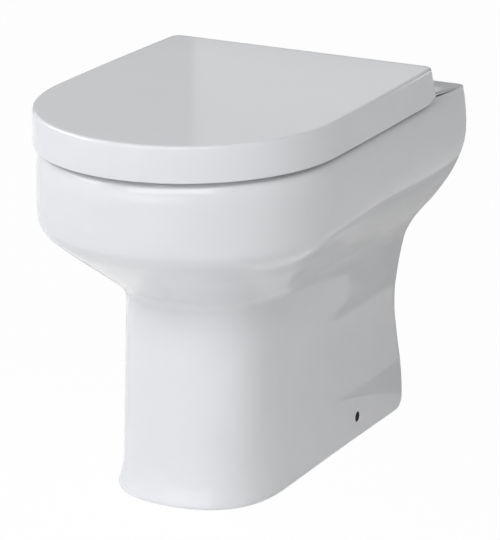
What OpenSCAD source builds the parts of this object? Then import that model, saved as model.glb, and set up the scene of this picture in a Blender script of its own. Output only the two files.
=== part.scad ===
// Back to wall toilet with a wrap-over lid, modelled in millimetres.
// Floor at z = 0, wall plane at y = +depth / 2, the front of the bowl points to -y.

/* [Overall] */
// wall plane to the front of the closed lid
depth = 558; // [540:1:580]
// height of the flat top of the ceramic above the floor
rim_z = 415; // [405:1:425]
// gap between the ceramic's front edge and the lid's front edge
lid_overhang = 3; // [2:0.5:5]

/* [Pan body] */
// half width of the upper band
band_half_w = 175; // [168:1:180]
// distance from the wall at which the sides start to curve in
side_d = 366; // [350:1:380]
// height at which the band turns into the sloping underside, at the front
band_edge_z = 330; // [320:1:340]
// height at which the sloping underside meets the pedestal, at the front
neck_z = 238; // [232:1:246]
// height of the narrowest place at the back of the pedestal
waist_z = 132; // [115:1:150]
// thickness of the ceramic skin
skin_t = 12; // [9:0.5:13]
// thickness of the flat shelf behind the bowl
shelf_t = 15; // [12:0.5:18]
// how far in the rounding of the band's top edge reaches
shoulder_in = 11; // [8:0.5:12]
// how far down the rounding of the band's top edge reaches
shoulder_down = 20; // [12:1:22]
// rounding of the band's back corners, seen from above
band_corner_r = 14; // [10:1:18]

/* [Pan foot] */
// half width of the foot
foot_half_w = 97; // [92:1:102]
// distance from the wall to the front of the foot
foot_d = 439; // [425:1:450]
// rounding of the foot's back corners, seen from above
foot_corner_r = 20; // [15:1:24]
// rounding of the foot's lower edge
foot_edge_r = 4; // [1:0.5:5]
// height of the heel's rounding at the back of the foot
heel_h = 14; // [6:1:20]
// distance from the wall to the lower end of the heel's rounding
heel_len = 26; // [10:1:30]
// distance from the wall at which the heel's rounding has died away
heel_fade = 110; // [90:5:130]
// radius of the empty side fixing holes
side_hole_r = 6.25; // [5:0.25:8]
// height of the side fixing holes
side_hole_z = 27; // [22:1:40]
// distance of the side fixing holes from the wall
side_hole_d = 138; // [110:1:160]

/* [Bowl and trap] */
// width of the flat rim round the bowl's mouth
rim_w = 41; // [38:1:46]
// distance from the wall to the back of the bowl's mouth
mouth_d = 205; // [195:1:215]
// thickness of the bowl's wall
bowl_t = 10; // [8:0.5:12]
// radius of the trap's bore
trap_r = 28; // [25:0.5:30]
// thickness of the trap's wall
trap_t = 9; // [7:0.5:10]
// bend radius of the trap's centre line
trap_bend = 48; // [44:1:50]
// depth of the water seal that the trap holds
seal_h = 50; // [45:1:55]
// distance of the trap's mouth from the wall
sump_d = 296; // [290:1:302]

/* [Pipe connections] */
// radius of the waste spigot
spigot_r = 51; // [48:0.5:53]
// length of the waste spigot
spigot_len = 55; // [45:1:65]
// bore radius inside the waste spigot
spigot_bore_r = 42; // [38:0.5:44]
// height of the waste spigot's axis
spigot_z = 185; // [182:1:190]
// distance from the wall to the spigot's open end
spigot_d = 60; // [50:1:75]
// radius of the flush inlet's bore
inlet_r = 28; // [25:0.5:30]
// wall thickness of the flush inlet
inlet_t = 9; // [7:0.5:10]
// height of the flush inlet's axis
inlet_z = 345; // [342:1:350]
// distance from the wall to the flush inlet's open end
inlet_d = 55; // [45:1:70]

/* [Lid] */
// half width of the lid
lid_half_w = 178; // [174:1:184]
// distance from the wall to the lower edge of the lid's back face
lid_back_d = 95; // [94:0.5:97]
// how far the lid's back face leans away from the wall on its way up
lid_lean = 3; // [0:0.5:4]
// rounding of the lid's back corners at their lower end, seen from above
lid_low_r = 6.5; // [5:0.5:8]
// rounding of the lid's back corners at the top, seen from above
lid_top_r = 12; // [9:0.5:13]
// height of the lid from its lower edge to its top face
lid_h = 41.5; // [40:0.5:44]
// gap between the lid's lower edge and the ceramic
lid_gap = 3; // [2:0.5:4]
// thickness of the lid's side wall and top
lid_t = 4.2; // [3.5:0.1:5]
// rounding of the lid's top edge
lid_edge_r = 4; // [2:0.5:6]

/* [Seat] */
// gap between the seat and the inside of the lid
seat_gap = 3.3; // [2.5:0.1:5]
// thickness of the seat ring
seat_t = 22; // [18:0.5:24]
// half width of the seat's opening
seat_open_half_w = 108; // [102:1:114]
// width of the seat ring at its front
seat_front_w = 66; // [60:1:72]
// distance from the wall to the back of the seat's opening
seat_open_d = 214; // [205:1:225]
// thickness of the rubber buffers under the seat
buffer_t = 6; // [4:0.5:7]
// radius of the rubber buffers
buffer_r = 8; // [6:0.5:9]

/* [Hinges] */
// distance between the two hinge posts
hinge_spacing = 155; // [150:1:165]
// distance of the hinge axis from the wall
axis_d = 111; // [110.5:0.5:112.5]
// height of the hinge axis above the ceramic
axis_h = 22; // [21:0.5:23]
// width of a hinge post
post_w = 14; // [12:0.5:16]
// radius of the round head of a hinge post
post_r = 11.5; // [10:0.5:12.5]
// half depth of a hinge post's neck, front to back
neck_half = 9.5; // [8:0.5:10]
// radius of a hinge post's flange
flange_r = 18; // [16:0.5:18.5]
// thickness of a hinge post's flange
flange_t = 3; // [2.5:0.25:3.5]
// thickness of the gasket under the flange
gasket_t = 1.5; // [1:0.25:2]
// radius of the steel hinge pin
pin_r = 4; // [3:0.25:4.5]
// running clearance between a pin and the sleeve round it
pin_clearance = 0.05; // [0.02:0.01:0.1]
// outer radius of the bushes and dampers
sleeve_r = 9; // [8:0.25:9.5]
// radius of the hinge lugs of seat and lid
lug_r = 12.5; // [12:0.25:13]
// width of the hinge lugs of seat and lid
lug_w = 21; // [18:0.5:23]
// side clearance between a lug and its post
lug_gap = 0.6; // [0.4:0.1:1]

/* [Hinge fixings] */
// radius of the threaded stud
stud_r = 4; // [3:0.25:4.5]
// radius of the stud's hole in the ceramic
stud_hole_r = 7; // [6:0.25:8]
// length of the stud below the flange
stud_len = 58; // [50:1:66]
// radius of the rubber cone washer
cone_r = 13; // [11:0.5:15]
// height of the rubber cone washer under the shelf
cone_h = 9; // [7:0.5:11]
// radius of the wing nut's hub
nut_r = 9; // [8:0.5:11]
// height of the wing nut's hub
nut_h = 13; // [10:0.5:16]
// reach of the wings from the stud's axis
wing_reach = 19; // [16:0.5:22]

/* [Hidden] */
$fn = 64;
e = 0.01;
wall_y = depth / 2;
pan_front_d = depth - lid_overhang;
axis_z = rim_z + axis_h;
lid_z0 = rim_z + lid_gap;
lid_z1 = lid_z0 + lid_h;
lid_in_z = lid_z1 - lid_t;
seat_z0 = rim_z + buffer_t;
seat_z1 = seat_z0 + seat_t;
hinge_x = hinge_spacing / 2;
fit = 0.02;
rest_gap = 0.1;
porcelain = [0.94, 0.95, 0.96];
plastic = [0.97, 0.97, 0.98];
steel = [0.75, 0.76, 0.78];
rubber = [0.85, 0.86, 0.87];
nylon = [0.9, 0.9, 0.88];

// Point counts of half an outline: back edge, back corner, side, front curve.
n_back = 2;
n_corner = 4;
n_side = 4;
n_front = 13;

function mix(a, b, t) = a * (1 - t) + b * t;
function ease(t) = t * t * (3 - 2 * t);
function clamp01(t) = max(0, min(1, t));
function bez(a, b, c, d, t) = a * pow(1 - t, 3) + 3 * b * t * pow(1 - t, 2)
    + 3 * c * t * t * (1 - t) + d * pow(t, 3);

// An outline is [half width, back, side end, front, side handle, front handle,
// back corner radius, back taper].
// Its points run from the middle of the back to the middle of the front, as [x, distance from the wall].
function half_outline(o) = concat(
    [for (i = [0:n_back - 1]) [(o[0] - o[7] - o[6]) * i / n_back, o[1]]],
    [for (i = [0:n_corner - 1]) let(t = 90 * i / n_corner)
        [o[0] - o[7] - o[6] * (1 - sin(t)), o[1] + o[6] * (1 - cos(t))]],
    [for (i = [0:n_side - 1]) let(t = i / n_side)
        [o[0] - o[7] * pow(1 - t, 2), mix(o[1] + o[6], o[2], t)]],
    [for (i = [0:n_front]) let(t = i / n_front)
        [bez(o[0], o[0], o[5], 0, t), bez(o[2], o[2] + o[4], o[3], o[3], t)]]);
function whole(h) = concat(h, [for (i = [len(h) - 2:-1:1]) [-h[i][0], h[i][1]]]);
function ring(h, z) = [for (p = whole(h)) [p[0], wall_y - p[1], z]];

// A tube of rings with a flat cap at each end, and the same closed on itself.
function wall_faces(n, m, k) = [for (i = [0:n - 1], j = [0:m - 1], h = [0, 1]) h == 0
    ? [i * m + j, (i + 1) % k * m + j, (i + 1) % k * m + (j + 1) % m]
    : [i * m + j, (i + 1) % k * m + (j + 1) % m, i * m + (j + 1) % m]];
function middle(r) = (r[0] + r[len(r) / 2]) / 2;
module tube(rings) {
    n = len(rings);
    m = len(rings[0]);
    polyhedron(points = concat([for (r = rings) each r], [middle(rings[0]), middle(rings[n - 1])]),
        faces = concat(wall_faces(n - 1, m, n),
            [for (j = [0:m - 1]) [n * m, j, (j + 1) % m]],
            [for (j = [0:m - 1]) [n * m + 1, (n - 1) * m + (j + 1) % m, (n - 1) * m + j]]));
}
module loop(rings) {
    polyhedron(points = [for (r = rings) each r], faces = wall_faces(len(rings), len(rings[0]), len(rings)));
}

// Cylinders along the three axes; d is the distance from the wall.
module along_y(r, d0, d1, z) {
    translate([0, wall_y - d0, z]) rotate([90, 0, 0]) cylinder(r = r, h = d1 - d0);
}
module along_x(r, x0, x1, d, z) {
    translate([x0, wall_y - d, z]) rotate([0, 90, 0]) cylinder(r = r, h = x1 - x0);
}
module along_z(r, x, d, z0, z1) {
    translate([x, wall_y - d, z0]) cylinder(r = r, h = z1 - z0);
}
module block(x0, x1, d0, d1, z0, z1) {
    translate([x0, wall_y - d1, z0]) cube([x1 - x0, d1 - d0, z1 - z0]);
}

// How far the pan's outline has moved from the band (0) to the foot (1), at the front and at the back.
slope_z = band_edge_z - neck_z;
function shift_front(z) = lookup(z, [[0, 0.96], [6, 0.98], [14, 1], [26, 1.03], [45, 1.045],
    [neck_z - 14, 1.095], [neck_z - 4, 1.095], [neck_z + 4, 1.045], [neck_z + 12, 0.95],
    [band_edge_z - 20, 0.18], [band_edge_z - 8, 0.06], [band_edge_z + 4, 0.01], [band_edge_z + 20, 0]]);
function shift_back(z) = lookup(z, [[24, 1], [55, 1.03], [waist_z - 32, 1.105], [waist_z, 1.143],
    [waist_z + 45, 1.1], [neck_z - 29, 1.027], [neck_z - 13, 0.97], [neck_z + 4, 0.86], [neck_z + 21, 0.7],
    [band_edge_z - 37, 0.36], [band_edge_z - 21, 0.23], [band_edge_z - 5, 0.13],
    [band_edge_z + 11, 0.055], [band_edge_z + 27, 0.012], [band_edge_z + 42, 0], [band_edge_z + 70, 0.028]]);
// The share of a quarter ellipse's width that is cut away at u, from its steep end (0) to its flat end (1).
function rounded(u) = 1 - sqrt(1 - pow(clamp01(u), 2));
function heel(z) = heel_len * rounded(1 - z / heel_h);
band = [band_half_w, 0, side_d, pan_front_d, 0.59 * (pan_front_d - side_d), 0.526 * band_half_w,
    band_corner_r, 0];
foot = [foot_half_w, 0, 331, foot_d, 0.72 * (foot_d - 331), 0.612 * foot_half_w, foot_corner_r, 0];
// Half of the pan's outline at one height, moved inwards by t.
function inset_outline(o, t) = [o[0] - t, o[1] + t, o[2], o[3] - t, o[4], o[5] - t * 0.5,
    max(o[6] - t, 3), 0];
function pan_half(z, t) = let(
        a = half_outline(inset_outline(band, t)),
        b = half_outline(inset_outline(foot, t)),
        k = half_outline(band))
    [for (i = [0:len(a) - 1]) let(
        w = ease(clamp01((k[i][1] / pan_front_d - 0.25) / 0.6)),
        s = mix(shift_back(z), shift_front(z), w),
        p = mix(a[i], b[i], s),
        back = clamp01(1 - p[1] / heel_fade))
        [p[0], p[1] + heel(z) * back]];
// The outside at one height near the floor, and near the top, where the back edge stays nearly sharp.
function foot_half(z) = pan_half(z, foot_edge_r * rounded(1 - z / foot_edge_r));
function rim_half(z) = let(
        t = shoulder_in * rounded(1 - (rim_z - z) / shoulder_down),
        near = pan_half(z, t * 0.1),
        far = pan_half(z, t),
        k = half_outline(band))
    [for (i = [0:len(k) - 1]) mix(near[i], far[i], clamp01(k[i][1] / 60))];
body_z = [0, 1, 2, 4, 8, 14, 26, 45, 70, waist_z - 32, waist_z, waist_z + 45, neck_z - 29, neck_z - 14,
    neck_z - 4, neck_z + 4, neck_z + 12, neck_z + 26, band_edge_z - 50, band_edge_z - 37,
    band_edge_z - 21, band_edge_z - 8, band_edge_z + 4, band_edge_z + 16, band_edge_z + 42];
inner_z = [0, 14, 45, waist_z, waist_z + 45, neck_z - 14, neck_z - 4, neck_z + 12,
    band_edge_z - 37, band_edge_z - 8, band_edge_z + 16];
under_z = rim_z - shelf_t;

// The bowl's inside as [height, half width, back, front], from the rim down to the trap's mouth.
bowl_front = pan_front_d - rim_w;
bowl_half = band_half_w - rim_w - 8;
uturn_z = spigot_z - trap_r - seal_h + trap_bend - trap_r;
bowl_rows = [
    [rim_z, bowl_half + 3, mouth_d - 3, bowl_front + 3],
    [rim_z - 3, bowl_half, mouth_d, bowl_front],
    [rim_z - 22, bowl_half, mouth_d, bowl_front],
    [rim_z - 30, bowl_half + 8, mouth_d - 7, bowl_front + 7],
    [rim_z - 52, bowl_half + 8, mouth_d - 7, bowl_front + 6],
    [rim_z - 66, bowl_half + 1, mouth_d - 6, bowl_front - 2],
    [rim_z - 92, bowl_half - 13, mouth_d - 5, bowl_front - 19],
    [rim_z - 122, bowl_half - 30, mouth_d, bowl_front - 50],
    [rim_z - 150, bowl_half - 46, mouth_d + 13, bowl_front - 84],
    [rim_z - 175, bowl_half - 66, mouth_d + 25, bowl_front - 119],
    [rim_z - 205, trap_r + 26, sump_d - 53, sump_d + 70],
    [uturn_z + 50, trap_r + 20, sump_d - 46, sump_d + 55],
    [uturn_z + 30, trap_r + 12, sump_d - trap_r - 12, sump_d + trap_r + 15],
    [uturn_z + 18, trap_r + 3, sump_d - trap_r - 3, sump_d + trap_r + 4],
    [uturn_z + 6, trap_r - 3, sump_d - trap_r + 3, sump_d + trap_r - 3]];
// An egg-shaped outline round one row, moved outwards by t.
function egg(w, b, f) = let(m = mix(b, f, 0.5)) [w, b, mix(m, f, 0.1), f, 0.5 * (f - m), 0.56 * w,
    min(w * 0.85, (f - b) * 0.45), 0];
function bowl_half_pts(r, t) = half_outline(egg(r[1] + t, r[2] - t, r[3] + t));
last_row = len(bowl_rows) - 1;
pan_rings = concat(
    [for (i = [last_row:-1:0]) ring(bowl_half_pts(bowl_rows[i], 0), bowl_rows[i][0])],
    [for (a = [90:-15:0]) let(z = rim_z - shoulder_down * (1 - sin(a))) ring(rim_half(z), z)],
    [for (i = [len(body_z) - 1:-1:0]) ring(foot_half(body_z[i]), body_z[i])],
    [for (z = inner_z) ring(pan_half(z, skin_t), z)],
    [ring(pan_half(under_z - 9, skin_t), under_z - 9)],
    [ring(pan_half(under_z, skin_t + 6), under_z)],
    [ring(bowl_half_pts(bowl_rows[3], bowl_t + 6), under_z)],
    [for (i = [3, 5, 6, 8, 9, 10, 12, 13, last_row]) ring(bowl_half_pts(bowl_rows[i], bowl_t),
        bowl_rows[i][0] - (i == last_row ? 8 : 0))]);

module bend(r, d, z, a0, a1) {
    translate([0, wall_y - d, z]) rotate([90, 0, 90]) rotate([0, 0, a0])
        rotate_extrude(angle = a1 - a0) translate([trap_bend, 0]) circle(r = r);
}
rise_d = sump_d - 2 * trap_bend;
run_d = sump_d - 3 * trap_bend;
spigot_end = spigot_d + spigot_len;
module trap_way(r, rs, cone_shift) {
    along_z(r, 0, sump_d, uturn_z, uturn_z + 12);
    bend(r, sump_d - trap_bend, uturn_z, 180, 360);
    along_z(r, 0, rise_d, uturn_z, spigot_z - trap_bend);
    bend(r, run_d, spigot_z - trap_bend, 90, 180);
    along_y(r, spigot_end + 12 - cone_shift, run_d, spigot_z);
    translate([0, wall_y - spigot_end + cone_shift, spigot_z]) rotate([90, 0, 0])
        cylinder(r1 = rs, r2 = r, h = 13);
    along_y(rs, spigot_d, spigot_end - cone_shift, spigot_z);
}
// The opening in the back of the pedestal, a little narrower than the space inside it.
function back_half(z) = mix(band_half_w, foot_half_w, shift_back(z)) - skin_t - 5;
back_z = [60, waist_z, waist_z + 45, neck_z - 13, neck_z + 4, neck_z + 21, band_edge_z - 37, band_edge_z - 5,
    band_edge_z + 27, rim_z - shelf_t - 12];
back_pts = concat([[foot_half_w - skin_t - 5, -1]], [for (z = back_z) [back_half(z), z]]);

module pan() {
    color(porcelain) difference() {
        union() {
            tube(pan_rings);
            trap_way(trap_r + trap_t, spigot_r, 0);
            along_y(inlet_r + inlet_t, inlet_d, mouth_d - 9, inlet_z);
        }
        trap_way(trap_r, spigot_bore_r, 3);
        along_z(trap_r, 0, sump_d, uturn_z, uturn_z + 26);
        along_y(spigot_bore_r, spigot_d - 1, spigot_d + 9, spigot_z);
        along_y(inlet_r, inlet_d - 1, mouth_d + 12, inlet_z);
        translate([0, wall_y + 1, 0]) rotate([90, 0, 0]) linear_extrude(height = skin_t + heel_len + 4)
            polygon(concat(back_pts, [for (i = [len(back_pts) - 1:-1:0])
                [-back_pts[i][0], back_pts[i][1]]]));
        along_x(side_hole_r, -foot_half_w - 5, foot_half_w + 5, side_hole_d, side_hole_z);
        for (s = [-1, 1]) along_z(stud_hole_r, s * hinge_x, axis_d, rim_z - shelf_t - 1, rim_z + 1);
    }
}

// Lid and seat outlines.
lid_taper = 4.8;
// The lid's outline from its lower edge (0) to its top (1).
function lid_line(u) = [lid_half_w, lid_back_d + lid_lean * u, side_d, depth, 0.59 * (depth - side_d),
    0.5275 * lid_half_w, mix(lid_low_r, lid_top_r, u), lid_taper + mix(-1.6, 0.6, u)];
function inward(o, t) = [o[0] - t, o[1] + t, o[2], o[3] - t, o[4], o[5] - t * 0.5,
    max(o[6] - t, 2), o[7]];
function lid_half(t, u) = half_outline(inward(lid_line(u), t));
corner_rise = 9;
corner_len = 26;
function lid_low(d) = lid_z0
    + corner_rise * pow(clamp01((lid_back_d + corner_len - d) / corner_len), 2.2);
function low_ring(t, up) = let(g = whole(lid_half(0, 0)), h = whole(lid_half(t, 0)))
    [for (i = [0:len(h) - 1]) [h[i][0], wall_y - h[i][1], lid_low(g[i][1]) + up]];
lid_rings = concat(
    [for (a = [90:-22.5:0]) ring(lid_half(lid_edge_r * (1 - cos(a)), 1),
        lid_z1 - lid_edge_r * (1 - sin(a)))],
    [low_ring(0, 0.8), low_ring(0.8, 0), low_ring(lid_t - 1.4, 0), low_ring(lid_t - 0.6, 0.8)],
    [ring(lid_half(lid_t, 1), lid_in_z - 2), ring(lid_half(lid_t + 2, 1), lid_in_z)]);
lug_a = post_w / 2 + lug_gap;
lug_b = lug_a + lug_w;
head_w = 3;
sleeve_head_r = lug_r - 1.5;
notch_x = lug_b + head_w + 3;
module lid() {
    color(plastic) difference() {
        union() {
            difference() {
                tube(lid_rings);
                for (s = [-1, 1]) block(s * hinge_x - notch_x, s * hinge_x + notch_x, lid_back_d - 1,
                    lid_back_d + lid_lean + lid_t + 3, lid_z0 - 1, axis_z + 14);
            }
            for (s = [-1, 1]) {
                x0 = s > 0 ? hinge_x + lug_a : -hinge_x - lug_b;
                along_x(lug_r, x0, x0 + lug_w, axis_d, axis_z);
                block(x0, x0 + lug_w, axis_d - 9, axis_d + 11, axis_z, lid_in_z + 1);
            }
        }
        for (s = [-1, 1]) {
            lug_x = s * (hinge_x + lug_a + lug_w / 2);
            along_x(sleeve_r + fit, lug_x - lug_w, lug_x + lug_w, axis_d, axis_z);
        }
    }
}

seat_back_d = axis_d + lug_r + 4;
seat_line = inward([lid_half_w, seat_back_d - lid_t - seat_gap, side_d, depth, 0.59 * (depth - side_d),
    0.5275 * lid_half_w, 26, lid_taper], lid_t + seat_gap);
function seat_outer(t) = half_outline(inward(seat_line, t));
seat_open_front = depth - lid_t - seat_gap - seat_front_w;
function seat_inner(t) = half_outline(egg(seat_open_half_w + t, seat_open_d - t, seat_open_front + t));
seat_rings = [
    ring(seat_inner(4), seat_z0), ring(seat_inner(1), seat_z0 + 3), ring(seat_inner(0), seat_z1 - 11),
    ring(seat_inner(2), seat_z1 - 6), ring(seat_inner(8), seat_z1 - 1.6), ring(seat_inner(16), seat_z1),
    ring(seat_outer(9), seat_z1), ring(seat_outer(4), seat_z1 - 0.7), ring(seat_outer(1.2), seat_z1 - 3),
    ring(seat_outer(0), seat_z1 - 8), ring(seat_outer(0.4), seat_z0 + 2), ring(seat_outer(2.5), seat_z0)];
// Buffer places as [x, distance from the wall]. The seat's stand midway between the bowl's mouth and the
// seat's edge, and the lid's stand midway across the seat ring.
seat_half_w = lid_half_w - lid_t - seat_gap;
pad_side_d = side_d - 66;
pad_point = n_back + n_corner + n_side + 8;
mouth_pts = bowl_half_pts(bowl_rows[2], 0);
seat_pads = [[mix(bowl_half, seat_half_w, 0.5), pad_side_d],
    mix(mouth_pts[pad_point], seat_outer(0)[pad_point], 0.5)];
lid_pads = [[mix(seat_open_half_w, seat_half_w, 0.5), pad_side_d],
    mix(seat_inner(0)[pad_point], seat_outer(0)[pad_point], 0.5)];
stem_r = 3;
stem_h = 6;
module seat() {
    color(plastic) difference() {
        union() {
            loop(seat_rings);
            for (s = [-1, 1]) {
                x0 = s > 0 ? hinge_x - lug_b : -hinge_x + lug_a;
                along_x(lug_r, x0, x0 + lug_w, axis_d, axis_z);
                block(x0, x0 + lug_w, axis_d, seat_back_d + 8, axis_z - 9, seat_z1 - 1);
            }
        }
        for (s = [-1, 1]) {
            lug_x = s * (hinge_x - lug_a - lug_w / 2);
            along_x(sleeve_r + fit, lug_x - lug_w, lug_x + lug_w, axis_d, axis_z);
        }
        for (p = seat_pads, s = [-1, 1])
            along_z(stem_r + fit, s * p[0], p[1], seat_z0 - 1, seat_z0 + stem_h + 0.5);
    }
}

// Hinge hardware; s is -1 on the left and 1 on the right.
flange_z = rim_z + gasket_t;
neck_top = flange_z + flange_t;
stud_top = neck_top + 5;
module hinge_post(s) {
    color(steel) difference() {
        union() {
            along_z(flange_r, s * hinge_x, axis_d, flange_z, neck_top);
            block(s * hinge_x - post_w / 2, s * hinge_x + post_w / 2, axis_d - neck_half,
                axis_d + neck_half, neck_top - e, axis_z);
            along_x(post_r, s * hinge_x - post_w / 2, s * hinge_x + post_w / 2, axis_d, axis_z);
        }
        along_x(pin_r + fit, s * hinge_x - post_w, s * hinge_x + post_w, axis_d, axis_z);
        along_z(stud_r + fit, s * hinge_x, axis_d, flange_z - 1, stud_top + 0.5);
    }
}
module hinge_post_left() { hinge_post(-1); }
module hinge_post_right() { hinge_post(1); }

pin_half = lug_b - 1;
pin_chamfer = 0.8;
module hinge_pin(s) {
    color(steel) translate([s * hinge_x, wall_y - axis_d, axis_z]) rotate([0, 90, 0]) rotate_extrude()
        polygon([[0, -pin_half], [pin_r - pin_chamfer, -pin_half], [pin_r, -pin_half + pin_chamfer],
            [pin_r, pin_half - pin_chamfer], [pin_r - pin_chamfer, pin_half], [0, pin_half]]);
}
module hinge_pin_left() { hinge_pin(-1); }
module hinge_pin_right() { hinge_pin(1); }

// A sleeve fills a lug's bore from x0 away from the post in direction u.
// Its head closes the lug's far end. side_x is a cylinder between two such distances from x0.
module side_x(r, x0, u, from, to) {
    along_x(r, min(x0 + u * from, x0 + u * to), max(x0 + u * from, x0 + u * to), axis_d, axis_z);
}
module sleeve(x0, u, head) {
    difference() {
        union() {
            side_x(sleeve_r, x0, u, 0, lug_w);
            side_x(sleeve_head_r, x0, u, lug_w, lug_w + head);
        }
        side_x(pin_r + pin_clearance, x0, u, -1, lug_w - 0.4);
    }
}
// A damper is a sleeve with a thick head that has two flats.
module damper(x0, u) {
    head_x = x0 + u * (lug_w + head_w / 2);
    difference() {
        sleeve(x0, u, head_w);
        for (s = [-1, 1]) block(head_x - head_w / 2 - e, head_x + head_w / 2 + e,
            axis_d + s * sleeve_head_r - 2, axis_d + s * sleeve_head_r + 2, axis_z - lug_r, axis_z + lug_r);
    }
}
module lid_bush() { color(nylon) sleeve(-hinge_x - lug_a, -1, 1); }
module lid_damper() { color(nylon) damper(hinge_x + lug_a, 1); }
module seat_bush() { color(nylon) sleeve(hinge_x - lug_a, -1, 1); }
module seat_damper() { color(nylon) damper(-hinge_x + lug_a, 1); }

module gasket(s) {
    color(rubber) difference() {
        along_z(flange_r + 0.5, s * hinge_x, axis_d, rim_z, rim_z + gasket_t);
        along_z(stud_r + 0.3, s * hinge_x, axis_d, rim_z - 1, rim_z + gasket_t + 1);
    }
}
module gasket_left() { gasket(-1); }
module gasket_right() { gasket(1); }

// The stud's lower half is grooved like a coarse thread.
thread_pitch = 2.5;
thread_depth = 0.6;
n_thread = 13;
stud_z0 = flange_z - stud_len;
module stud(s) {
    color(steel) translate([s * hinge_x, wall_y - axis_d, stud_z0]) rotate_extrude()
        polygon(concat([[0, 0], [stud_r - 1, 0]],
            [for (i = [0:n_thread - 1]) each [[stud_r, 1 + i * thread_pitch],
                [stud_r - thread_depth, 1 + (i + 0.5) * thread_pitch]]],
            [[stud_r, 1 + n_thread * thread_pitch], [stud_r, stud_top - stud_z0], [0, stud_top - stud_z0]]));
}
module stud_left() { stud(-1); }
module stud_right() { stud(1); }

cone_z1 = rim_z - shelf_t;
cone_z0 = cone_z1 - cone_h;
plug_h = 6;
module cone_washer(s) {
    color(rubber) difference() {
        union() {
            translate([s * hinge_x, wall_y - axis_d, cone_z0])
                cylinder(r1 = cone_r, r2 = stud_hole_r + 2, h = cone_h);
            along_z(stud_hole_r - 0.3, s * hinge_x, axis_d, cone_z1 - e, cone_z1 + plug_h);
        }
        along_z(stud_r + 0.1, s * hinge_x, axis_d, cone_z0 - 1, cone_z1 + plug_h + 1);
    }
}
module cone_washer_left() { cone_washer(-1); }
module cone_washer_right() { cone_washer(1); }

nut_z1 = cone_z0;
nut_z0 = nut_z1 - nut_h;
wing_t = 4;
module wing_nut(s) {
    color(nylon) difference() {
        union() {
            translate([s * hinge_x, wall_y - axis_d, nut_z0]) cylinder(r1 = nut_r - 2, r2 = nut_r, h = nut_h);
            along_z(nut_r + 2, s * hinge_x, axis_d, nut_z1 - 2.5, nut_z1);
            translate([s * hinge_x, wall_y - axis_d + wing_t / 2, nut_z0]) rotate([90, 0, 0])
                linear_extrude(height = wing_t)
                    polygon([[-wing_reach, -3], [-wing_reach + 3, -5], [-nut_r, 1], [nut_r, 1],
                        [wing_reach - 3, -5], [wing_reach, -3], [wing_reach - 1, 4], [nut_r - 1, nut_h - 3],
                        [1 - nut_r, nut_h - 3], [1 - wing_reach, 4]]);
        }
        along_z(stud_r + fit, s * hinge_x, axis_d, nut_z0 - 6, nut_z1 + 1);
    }
}
module wing_nut_left() { wing_nut(-1); }
module wing_nut_right() { wing_nut(1); }

module seat_buffer(p, s) {
    color(rubber) union() {
        along_z(buffer_r, s * p[0], p[1], rim_z + rest_gap, seat_z0);
        along_z(stem_r, s * p[0], p[1], seat_z0 - e, seat_z0 + stem_h);
    }
}
module seat_buffer_front_left() { seat_buffer(seat_pads[1], -1); }
module seat_buffer_front_right() { seat_buffer(seat_pads[1], 1); }
module seat_buffer_rear_left() { seat_buffer(seat_pads[0], -1); }
module seat_buffer_rear_right() { seat_buffer(seat_pads[0], 1); }

module lid_buffer(p, s) {
    color(rubber) union() {
        along_z(buffer_r, s * p[0], p[1], lid_in_z - 2, lid_in_z);
        along_z(buffer_r - 2, s * p[0], p[1], seat_z1 + rest_gap, lid_in_z - 2 + e);
    }
}
module lid_buffer_front_left() { lid_buffer(lid_pads[1], -1); }
module lid_buffer_front_right() { lid_buffer(lid_pads[1], 1); }
module lid_buffer_rear_left() { lid_buffer(lid_pads[0], -1); }
module lid_buffer_rear_right() { lid_buffer(lid_pads[0], 1); }

pan();
seat();
lid();
hinge_post_left();
hinge_post_right();
hinge_pin_left();
hinge_pin_right();
lid_bush();
lid_damper();
seat_bush();
seat_damper();
gasket_left();
gasket_right();
stud_left();
stud_right();
cone_washer_left();
cone_washer_right();
wing_nut_left();
wing_nut_right();
seat_buffer_front_left();
seat_buffer_front_right();
seat_buffer_rear_left();
seat_buffer_rear_right();
lid_buffer_front_left();
lid_buffer_front_right();
lid_buffer_rear_left();
lid_buffer_rear_right();
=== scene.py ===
import math
from collections import namedtuple

import bmesh
import bpy
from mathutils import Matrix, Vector


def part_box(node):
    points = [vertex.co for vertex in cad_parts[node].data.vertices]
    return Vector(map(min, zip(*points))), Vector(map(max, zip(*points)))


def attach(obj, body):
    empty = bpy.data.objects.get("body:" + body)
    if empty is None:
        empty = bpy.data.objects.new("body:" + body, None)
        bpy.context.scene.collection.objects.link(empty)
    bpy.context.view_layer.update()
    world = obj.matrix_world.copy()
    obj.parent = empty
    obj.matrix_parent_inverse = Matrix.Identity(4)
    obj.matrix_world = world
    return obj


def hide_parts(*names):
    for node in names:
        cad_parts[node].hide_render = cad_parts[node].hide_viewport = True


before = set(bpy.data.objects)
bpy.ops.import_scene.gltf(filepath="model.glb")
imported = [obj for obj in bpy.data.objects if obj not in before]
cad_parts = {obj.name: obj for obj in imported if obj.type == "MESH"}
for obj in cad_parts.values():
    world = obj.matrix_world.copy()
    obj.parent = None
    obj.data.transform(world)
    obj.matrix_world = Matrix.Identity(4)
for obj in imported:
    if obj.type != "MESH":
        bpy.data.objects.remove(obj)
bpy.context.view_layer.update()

# Sizes are in millimetres. A place is (x, distance from the wall, height above the floor).
MM = 0.001
pan_low, pan_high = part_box("pan")
lid_low, lid_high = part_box("lid")
WALL_Y = pan_high.y
RIM_Z = pan_high.z / MM
BAND_HALF_W = pan_high.x / MM
PAN_FRONT = (WALL_Y - pan_low.y) / MM
LID_HALF_W = lid_high.x / MM
LID_FRONT = (WALL_Y - lid_low.y) / MM
LID_BACK = (WALL_Y - lid_high.y) / MM
LID_TOP = lid_high.z / MM
LID_FOOT = lid_low.z / MM

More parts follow.
